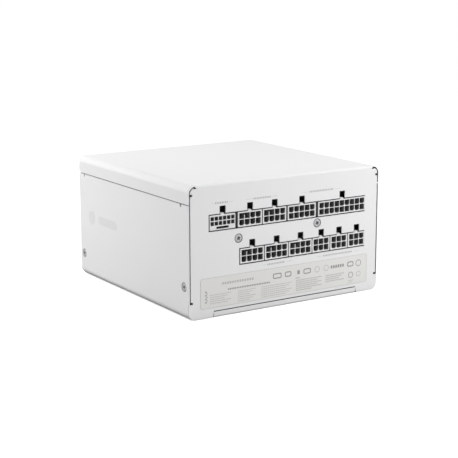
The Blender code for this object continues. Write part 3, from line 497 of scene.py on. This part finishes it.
def end_panel(name, y, outward, openings):
    """A panel folded down from the top plate: the flat panel and its rounded fold."""
    centre, fold, r = HALF_W - BEND, FOLD_HALF_W, 1.3 * MM
    strip_top, half, wide = 4.4 * MM, 56.6 * MM, STRIP_ROOM
    outline = (
        [(-fold, PANEL_HIGH), (-fold, HEIGHT - r), (fold, HEIGHT - r), (fold, PANEL_HIGH)]
        + arc(centre, HEIGHT - BEND, PANEL_CORNER, 90, 0, 12)
        + [(PANEL_X, FLAP_TOP), (HALF_W - FLAP_EDGE, FLAP_TOP)]
        + arc(centre, BEND, BEND - FLAP_EDGE, 0, -90, 12)
        + [(wide, FLAP_EDGE), (half, strip_top), (-half, strip_top), (-wide, FLAP_EDGE)]
        + arc(-centre, BEND, BEND - FLAP_EDGE, 270, 180, 12)
        + [(-HALF_W + FLAP_EDGE, FLAP_TOP), (-PANEL_X, FLAP_TOP)]
        + arc(-centre, HEIGHT - BEND, PANEL_CORNER, 180, 90, 12)
    )
    inner = y - outward * SHEET
    low, high = sorted((y, inner))
    panel = plate(name, [outline, *openings], "Y", low, high)
    outside, inside = fold_arcs(y, -outward, r)
    outside = [(u, HEIGHT - v) for u, v in outside]
    inside = [(u, HEIGHT - v) for u, v in inside]
    back = y - outward * 3 * MM
    section = [*outside, (back, HEIGHT), (back, HEIGHT - SHEET), *inside]
    fold_piece = plate(name + "_fold", [section], "X", -fold, fold)
    return panel, fold_piece


def is_inside(centre, facing, near=0.02 * MM, reach=2 * MM):
    """Whether a face of the housing, by its centre and normal, lies on the housing's inside."""
    x, y, z = centre
    if 68 * MM < abs(x) < WALL_IN + near and facing.x * x < 0 and abs(facing.x) > 0.3:
        if SHEET < z < HEIGHT - SHEET:
            return True
    if SHEET - near < z < 4 * MM and facing.z > 0.5 or 80 * MM < z < HEIGHT - SHEET + near and facing.z < -0.3:
        return True
    return y < Y_FRONT + reach and facing.y > 0.5 or y > Y_REAR - reach and facing.y < -0.5


def shade_inside(obj):
    """Gives the housing's inner faces a dark colour: painted shade for the inside seen through gaps, seams and
    notches.
    """
    obj.data.materials.append(LOOKS["inside_shade"])
    for face in obj.data.polygons:
        if is_inside(face.center, face.normal):
            face.material_index = 1
    return obj


def make_upper_shell():
    profile = bent_profile(SEAM_Z + GAP / 2, True)
    top = plate("upper_shell_sheet", [profile], "Y", Y_FRONT, Y_REAR, "white_paint", SHEET_EDGE)
    fold = FOLD_HALF_W
    for y in (Y_FRONT, Y_REAR):
        inward = 1 if y < 0 else -1
        ys = sorted((y - inward * 1 * MM, y + inward * 3 * MM))
        cut(top, block("fold_room", (-fold, ys[0], HEIGHT - 2 * MM), (fold, ys[1], HEIGHT + 1 * MM)))
    upper = [n for n in nodes if n.startswith("socket_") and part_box(n)[0][2] > 50 * MM]
    lower = [n for n in nodes if n.startswith("socket_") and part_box(n)[0][2] < 50 * MM]
    windows = [row_window(UPPER_Z, upper), row_window(LOWER_Z, lower)]
    front, front_fold = end_panel("front_panel", Y_FRONT, -1, windows)
    rear, rear_fold = end_panel("rear_panel", Y_REAR, 1, rear_openings())
    for x, z in PANEL_SCREWS.values():
        cut(front, *screw_sink((x, Y_FRONT, z), (0, 1, 0)))
    flanges = []
    outer = PANEL_X - 0.1 * MM
    for sign in (-1, 1):
        xs = sorted((sign * outer, sign * (outer - SHEET)))
        for low_y, high_y in FLANGE_ENDS:
            flange = block("flange", (xs[0], low_y, 12 * MM), (xs[1], high_y, 79.7 * MM))
            for point, inward in side_screws().values():
                if point.x * sign > 0 and low_y < point.y < high_y:
                    cut(flange, rod("hole", point, point + inward * 4 * MM, 2.15 * MM))
            flanges.append(flange)
    for panel, y in ((front, Y_FRONT), (rear, Y_REAR)):
        for sign in (-1, 1):
            for z in NOTCH_HEIGHTS:
                xs = sorted((sign * (PANEL_X + 1 * MM), sign * (PANEL_X - 1.6 * MM)))
                cut(panel, block("notch", (xs[0], y - 2 * MM, z - 0.75 * MM), (xs[1], y + 2 * MM, z + 0.75 * MM)))
            xs = sorted((sign * (fold - 0.7 * MM), sign * (fold + 1.1 * MM)))
            cut(panel, block("notch", (xs[0], y - 2 * MM, HEIGHT - 2.1 * MM), (xs[1], y + 2 * MM, HEIGHT + 1 * MM)))
    shell = joined("upper_shell_fine", [top, front, front_fold, rear, rear_fold], "white_paint")
    place(smooth(shade_inside(shell)), ["upper_shell"])
    # the flanges take the dark inside colour: painted shade behind the panel gaps and notches
    place(joined("upper_shell_flanges", flanges, "inside_shade"))


def make_lower_shell():
    high = SEAM_Z - GAP / 2
    profile = bent_profile(high, False)
    shell = plate("lower_shell_sheet", [profile], "Y", Y_FRONT, Y_REAR, "white_paint", SHEET_EDGE)
    cut(shell, rod("fan_opening", (0, Y_MID, -2 * MM), (0, Y_MID, 4 * MM), 66 * MM, sides=96))
    for point, inward in [*side_screws().values(), *fan_screws().values()]:
        cut(shell, *screw_sink(point, inward))
    for sign in (-1, 1):
        for y in SEAM_NOTCHES:
            xs = sorted((sign * (HALF_W + 1 * MM), sign * (WALL_IN - 0.2 * MM)))
            cut(shell, block("seam_notch", (xs[0], y - 0.7 * MM, high - 1.8 * MM),
                             (xs[1], y + 0.7 * MM, high + 1 * MM)))
    for sign in (-1, 1):
        xs = sorted((sign * (HALF_W + 1 * MM), sign * STRIP_ROOM))
        for y in (Y_FRONT, Y_REAR):
            inner = SHEET + 0.15 * MM
            cut(shell, block("flap_room", (xs[0], y - inner, -1 * MM), (xs[1], y + inner, FLAP_TOP)))
    pieces = [shell]
    for y, inward in ((Y_FRONT, 1), (Y_REAR, -1)):
        cut(shell, block("fold_room", (-STRIP_ROOM, y - 1.3 * MM, -1 * MM), (STRIP_ROOM, y + 1.3 * MM, 2 * MM)))
        outside, inside = fold_arcs(y, inward, 1.2 * MM)
        back = y + inward * 2 * MM
        strip = [(y, STRIP_HIGH), *outside, (back, 0), (back, SHEET), *inside, (y + inward * SHEET, STRIP_HIGH)]
        pieces.append(plate("strip", [strip], "X", -STRIP_HALF_W, STRIP_HALF_W))
    tongues = []
    outer = WALL_IN - 0.3 * MM
    for sign in (-1, 1):
        xs = sorted((sign * outer, sign * (outer - SHEET)))
        tongues.append(block("tongue", (xs[0], TONGUE_ENDS[0], SEAM_Z - 9 * MM),
                             (xs[1], TONGUE_ENDS[1], SEAM_Z + 6 * MM)))
    fine = joined("lower_shell_fine", pieces, "white_paint")
    place(smooth(shade_inside(fine)), ["lower_shell"])
    # the tongues take the dark inside colour: painted shade behind the seam
    place(joined("lower_shell_tongues", tongues, "inside_shade"))


# ---- screws -------------------------------------------------------------------------------------------
HEAD_SUNK = 0.12 * MM
SCREW_LENGTHS = {"side": 4.2 * MM, "panel": 6 * MM, "fan": 8 * MM}


def make_screw(name, point, inward, length, head_r=2.5 * MM, shank_r=1.4 * MM):
    """A countersunk screw with a cross recess, and a dark disc under its head: painted shade in the gap round the
    head and in the cross recess.
    """
    profile = [(0, 0.1), (head_r - 0.5 * MM, 0.1), (head_r - 0.12 * MM, 0.02), (head_r, -0.12)]
    profile = [(r, z * MM) for r, z in profile]
    profile += [(head_r, -0.25 * MM), (shank_r, -0.25 * MM - (head_r - shank_r)), (shank_r, -length), (0, -length)]
    shape = bmesh.new()
    verts = [shape.verts.new((r, 0, z)) for r, z in profile]
    edges = [shape.edges.new(pair) for pair in zip(verts, verts[1:])]
    bmesh.ops.spin(shape, geom=verts + edges, cent=(0, 0, 0), axis=(0, 0, 1), angle=2 * math.pi, steps=40,
                   use_merge=True)
    bmesh.ops.remove_doubles(shape, verts=shape.verts, dist=0.000002)
    bmesh.ops.recalc_face_normals(shape, faces=shape.faces)
    mesh = bpy.data.meshes.new(name + "_fine")
    shape.to_mesh(mesh)
    shape.free()
    screw = dressed(link(bpy.data.objects.new(name + "_fine", mesh)), "screw_steel")
    for w, h in ((1.35, 0.42), (0.42, 1.35)):
        cut(screw, block("cross", (-w * MM, -h * MM, -1.3 * MM), (w * MM, h * MM, 1 * MM)))
    cut(screw, rod("well", (0, 0, -1.3 * MM), (0, 0, 1 * MM), 0.7 * MM, end_radius=1.2 * MM, sides=24))
    point, inward = Vector(point), Vector(inward)
    turn = (-inward).to_track_quat("Z", "Y").to_matrix().to_4x4() @ Matrix.Rotation(math.radians(28), 4, "Z")
    mesh = screw.data
    mesh.transform(Matrix.Translation(point + inward * HEAD_SUNK) @ turn)
    place(smooth(screw, 40), [name])
    # dark disc at the bottom of the sink: painted shade round the head and in the cross recess
    place(rod(name + "_recess", point + inward * 0.44 * MM, point + inward * 0.48 * MM, head_r + 0.5 * MM,
              "pocket_shade", sides=40))


def make_screws():
    for name, (point, inward) in side_screws().items():
        make_screw("side_screw_" + name, point, inward, SCREW_LENGTHS["side"])
    for name, (x, z) in PANEL_SCREWS.items():
        make_screw("panel_screw_" + name, (x, Y_FRONT, z), (0, 1, 0), SCREW_LENGTHS["panel"])
    for name, (point, inward) in fan_screws().items():
        make_screw("fan_screw_" + name, point, inward, SCREW_LENGTHS["fan"])


# ---- printing -----------------------------------------------------------------------------------------
# Places are in millimetres. A caption: left end, right end, and the dashed part between two thin lines.
CAPTIONS = {
    73.5: ((-58, -42, (-55.4, -45.6)), (-32, -8, (-26.8, -13)), (12.6, 42, (17.2, 37))),
    29.2: ((-20, 4, (-15.8, -2)), (24, 59.5, (29, 53.4))),
}
PARAGRAPHS = (  # left, right, top line, lines, how much each line is cut short, dash height, dash step, fill
    (-59.5, -43.5, 14.8, 5, (0, 2.4, 4.8), 0.45, 1.6, 0.8),
    (-38.5, -24.5, 14.8, 6, (0, 2.4, 4.8), 0.45, 1.6, 0.8),
    (-20.5, 4, 14.8, 6, (0, 2.4, 4.8), 0.45, 1.6, 0.8),
    (7, 28, 15.3, 6, (0, 3.1, 0, 3.1, 0, 8.1), 0.75, 1.1, 0.75),
    (31.2, 47, 15.2, 4, (0, 2.2, 4.4), 0.75, 1.1, 0.75),
)
LINE_STEP = 1.35
MARK_FRAMES = ((-11.4, -4.6), (-1.9, 3.2), (13, 19), (49.4, 54.6))  # left and right end
MARK_LOW, MARK_HIGH = 18.8, 22.4
FAINT_RINGS = (24.2, 20.6, 2.1), (31.6, 20.6, 2.1), (59, 13, 1.9)  # centre and radius
DARK_RINGS = (58.8, 20.5, 2.3), (52.4, 13, 2.1)


def printed(name, outlines, look, y=Y_FRONT, lift=0.03 * MM):
    """Flat print standing a hair proud of the surface at y."""
    piece = plate(name, outlines, "Y", y - lift, y - 0.004 * MM, look)
    place(piece)


def dotted(low_x, high_x, z, height, step, fill=0.62):
    """A row of small blocks that stands for a printed caption."""
    count = max(1, round((high_x - low_x) / step))
    step = (high_x - low_x) / count
    return [rectangle(low_x + i * step, z - height / 2, low_x + (i + fill) * step, z + height / 2)
            for i in range(count)]


def ring(x, z, radius, width=0.45 * MM):
    return [circle(x, z, radius), circle(x, z, radius - width)]


def frame_outline(low_x, low_z, high_x, high_z, width, radius=1.0 * MM):
    return [rounded(low_x, low_z, high_x, high_z, radius),
            rounded(low_x + width, low_z + width, high_x - width, high_z - width, max(radius - width, 0.05 * MM))]


def mm(*values):
    return [v * MM for v in values]


def side_mark():
    """A plain disc and a plain bar, measured from the front."""
    return [circle(131.5 * MM, 44 * MM, 5 * MM, 32), rounded(94 * MM, 41 * MM, 122 * MM, 47 * MM, 3 * MM, 6)]


def make_printing():
    captions = []
    for z, row in CAPTIONS.items():
        for low, high, words in row:
            for ends in ((low, words[0] - 1), (words[1] + 1, high)):
                captions.append(rectangle(*mm(ends[0], z - 0.05, ends[1], z + 0.1)))
            captions += dotted(*mm(*words, z, 1.1, 1.25))
    printed("socket_captions", captions, "panel_ink")
    mark = [[(Y_FRONT + u, v) for u, v in shape] for shape in side_mark()]
    place(plate("side_mark", mark, "X", -HALF_W - 0.02 * MM, -HALF_W + 0.05 * MM, "side_ink"))

    face = Y_FRONT - 0.1 * MM
    outline = rounded(*mm(-66.5, 6.4, 66.0, 26.3, 1.6), 8)
    label = plate("rating_label_fine", [outline], "Y", face, Y_FRONT - 0.01 * MM, "label_film")
    place(label, ["rating_label"])
    border = frame_outline(*mm(-66.4, 6.5, 65.9, 26.2), 0.22 * MM, 1.5 * MM)
    printed("label_border", border, "label_faint", face)
    faint = dotted(*mm(-50.5, -26, 21.4, 1.5, 1.9), fill=0.7)
    for low, high, top, lines, short, height, step, fill in PARAGRAPHS:
        for i in range(lines):
            end = high - short[i % len(short)]
            faint += dotted(*mm(low, end, top - LINE_STEP * i, height, step), fill=fill)
    faint += dotted(*mm(50.4, 55, 9.2, 0.6, 1.0)) + dotted(*mm(50.4, 54, 8.0, 0.6, 1.0))
    for place_and_size in FAINT_RINGS:
        faint += ring(*mm(*place_and_size))
    printed("label_small_marks", faint, "label_faint", face)
    dark = dotted(*mm(-46, -13.6, 17.1, 1.0, 1.3), fill=0.66)
    for left, right in MARK_FRAMES:
        dark += frame_outline(*mm(left, MARK_LOW, right, MARK_HIGH), 0.7 * MM)
    for place_and_size in DARK_RINGS:
        dark += ring(*mm(*place_and_size))
    dark += [rectangle(*mm(6.6, 16.8, 9.8, 17.2)), rectangle(*mm(8, 19.4, 10, 22))]
    dark += dotted(*mm(35.4, 47, 20.6, 2.0, 1.9), fill=0.7)
    dark += [rectangle(*mm(-63.2 + 0.9 * (i % 2), 10.2 + 1.15 * i, -61.9 + 0.5 * (i % 2), 10.9 + 1.15 * i))
             for i in range(7)]
    printed("label_dark_marks", dark, "label_ink", face)


# ---- fan grille and the CAD pieces that stay ----------------------------------------------------------
def make_fan_grille():
    half, low = 70 * MM, SHEET + 0.1 * MM

    def open_area(u, v):
        return 18 * MM < math.hypot(u, v) < 57.8 * MM

    edge = [(u, v + Y_MID) for u, v in rounded(-half, -half, half, half, 6 * MM)]
    vents = [[(u, v + Y_MID) for u, v in h] for h in hexagons(14.5 * MM, 12.6 * MM, open_area)]
    holes = [circle(point.x, point.y, 3.3 * MM) for point, _ in fan_screws().values()]
    grille = plate("fan_grille_fine", [edge, *vents, *holes], "Z", low, low + SHEET, "white_paint", 0.1 * MM)
    place(grille, ["fan_grille"])


def round_edges():
    """Light rounding on the CAD pieces that stay in view."""
    for name in ("ac_inlet", "switch_housing", "switch_rocker"):
        edge = nodes[name].modifiers.new("rounded_edges", "BEVEL")
        edge.width = 0.25 * MM
        edge.segments = 2
        edge.limit_method = "ANGLE"
        edge.angle_limit = math.radians(40)


# ---- studio -------------------------------------------------------------------------------------------
CAMERA_PLACE = (-0.4687, -0.7348, 0.2236)
CAMERA_YAW, CAMERA_PITCH, CAMERA_ROLL = math.radians(32.74), math.radians(12.08), math.radians(-0.07)
CAMERA_LENS = 100.2
FLOOR_GLOW = 0.6
WORLD_STRENGTH = 0.925
SKY = ((0.0, 0.95), (0.22, 0.9), (0.4, 0.38), (0.75, 0.38), (1.0, 0.6))  # (sine of the elevation, brightness)
SOFTBOXES = {  # name: (place, size, power in watts); each faces the middle of the object
    "softbox_left": ((-0.30, 0.30, 0.33), 0.5, 2.05),
    "softbox_right": ((0.33, -0.34, 0.33), 0.5, 2.27),
}


def make_world():
    world = bpy.data.worlds.new("studio")
    bpy.context.scene.world = world
    world.use_nodes = True
    background = world.node_tree.nodes["Background"]
    background.inputs["Color"].default_value = (1, 1, 1, 1)
    tree = world.node_tree
    direction = tree.nodes.new("ShaderNodeTexCoord")
    split = tree.nodes.new("ShaderNodeSeparateXYZ")
    bands = tree.nodes.new("ShaderNodeFloatCurve")
    curve = bands.mapping.curves[0]
    curve.points[0].location, curve.points[1].location = SKY[0], SKY[-1]
    for height, strength in SKY[1:-1]:
        curve.points.new(height, strength)
    for point in curve.points:
        point.handle_type = "VECTOR"
    bands.mapping.use_clip = False
    bands.mapping.update()
    scale = tree.nodes.new("ShaderNodeMath")
    scale.operation = "MULTIPLY"
    scale.inputs[1].default_value = WORLD_STRENGTH
    tree.links.new(direction.outputs["Generated"], split.inputs["Vector"])
    tree.links.new(split.outputs["Z"], bands.inputs["Value"])
    tree.links.new(bands.outputs["Value"], scale.inputs[0])
    tree.links.new(scale.outputs["Value"], background.inputs["Strength"])
    bpy.context.scene.view_settings.view_transform = "Standard"
    bpy.context.scene.view_settings.look = "None"


def make_floor():
    """The floor that is seen, the greyer one that sends light back, and a dark patch under the object: painted
    contact shadow in the light sent back.
    """
    seen = material("studio_floor_seen", (0.9, 0.9, 0.9), 0.9)
    shader = seen.node_tree.nodes["Principled BSDF"]
    shader.inputs["Specular IOR Level"].default_value = 0.0
    shader.inputs["Emission Color"].default_value = (1, 1, 1, 1)
    shader.inputs["Emission Strength"].default_value = FLOOR_GLOW
    bounce = material("studio_floor_bounce", (0.5, 0.5, 0.5), 0.9)
    bounce.node_tree.nodes["Principled BSDF"].inputs["Specular IOR Level"].default_value = 0.0
    LOOKS["floor_seen"], LOOKS["floor_bounce"] = seen, bounce
    floor = block("studio_floor", (-8, -8, -0.4 * MM), (8, 8, -0.05 * MM), "floor_seen")
    floor.visible_diffuse = floor.visible_glossy = floor.visible_transmission = floor.visible_shadow = False
    lower = block("studio_floor_bounce", (-8, -8, -20 * MM), (8, 8, -0.5 * MM), "floor_bounce")
    # painted contact shadow: a dark patch under the object, hidden from the camera, darkens the light sent back onto
    # its lower edges
    LOOKS["painted_contact_shadow"] = material("studio_painted_contact_shadow", (0.05, 0.05, 0.05), 0.9)
    contact = block("studio_painted_contact_shadow", (-77 * MM, -78 * MM, -0.45 * MM), (77 * MM, 78 * MM, -0.3 * MM),
                    "painted_contact_shadow")
    lower.visible_camera = contact.visible_camera = False


def make_lamps():
    for name, (spot, size, power) in SOFTBOXES.items():
        lamp = bpy.data.lights.new(name, "AREA")
        lamp.size, lamp.energy = size, power
        holder = link(bpy.data.objects.new(name, lamp))
        aim = Vector((0, 0, 0.04)) - Vector(spot)
        holder.visible_camera = holder.visible_glossy = False
        holder.matrix_world = Matrix.Translation(spot) @ aim.to_track_quat("-Z", "Y").to_matrix().to_4x4()


def make_camera():
    camera = bpy.data.cameras.new("camera")
    camera.sensor_width = 36
    camera.lens = CAMERA_LENS
    camera.clip_start = 0.01
    eye = link(bpy.data.objects.new("camera", camera))
    eye.matrix_world = (
        Matrix.Translation(CAMERA_PLACE)
        @ Matrix.Rotation(-CAMERA_YAW, 4, "Z")
        @ Matrix.Rotation(math.pi / 2 - CAMERA_PITCH, 4, "X")
        @ Matrix.Rotation(CAMERA_ROLL, 4, "Z")
    )
    bpy.context.scene.camera = eye


make_world()
make_floor()
make_lamps()
make_camera()
make_upper_shell()
make_lower_shell()
make_sockets()
make_screws()
make_printing()
make_fan_grille()
round_edges()
